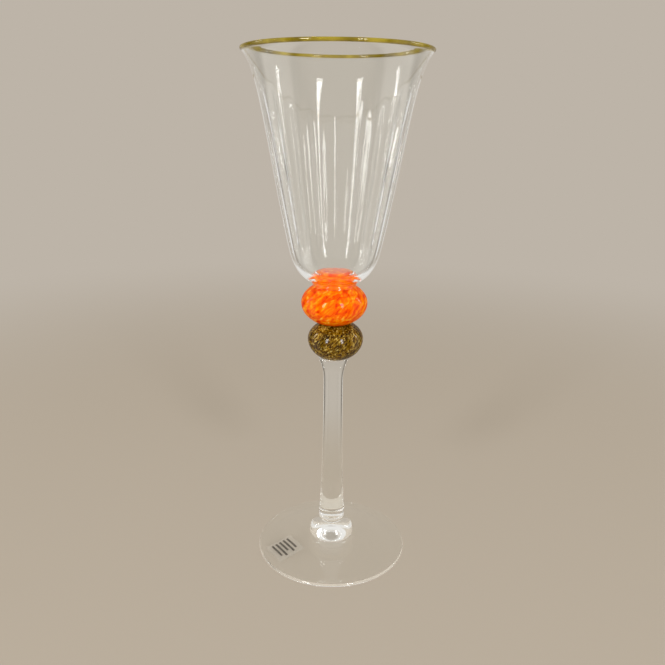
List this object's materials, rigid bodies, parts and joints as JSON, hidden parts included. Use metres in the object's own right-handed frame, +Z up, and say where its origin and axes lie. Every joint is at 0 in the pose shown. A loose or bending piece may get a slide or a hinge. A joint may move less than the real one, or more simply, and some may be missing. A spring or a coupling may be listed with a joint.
{
  "type": "champagne flute",
  "caption": "Tall stemmed champagne flute: flared ribbed clear bowl with a coloured lip wrap, mottled orange and olive glass beads, clear rod stem and a shallow conical foot.",
  "frame": {"origin": "middle of the foot's underside, on the surface that the glass stands on", "axes": "+Z up along the axis of the stem and bowl, +X to the right and -Y towards the viewer of the picture"},
  "size_m": [0.0856, 0.0856, 0.25],
  "materials": {
    "clear_glass": "fire polished",
    "olive_glass": "fire polished",
    "orange_glass": "fire polished",
    "thread_glass": "fire polished",
    "label_film": "clear film"
  },
  "bodies": {
    "root": {"foot": "clear_glass", "foot_button": "clear_glass", "merese": "clear_glass", "stem": "clear_glass", "olive_bead": "olive_glass", "orange_bead": "orange_glass", "orange_neck": "orange_glass", "bowl": "clear_glass", "lip_wrap": "thread_glass", "label_film": "label_film"}
  },
  "joints": []
}
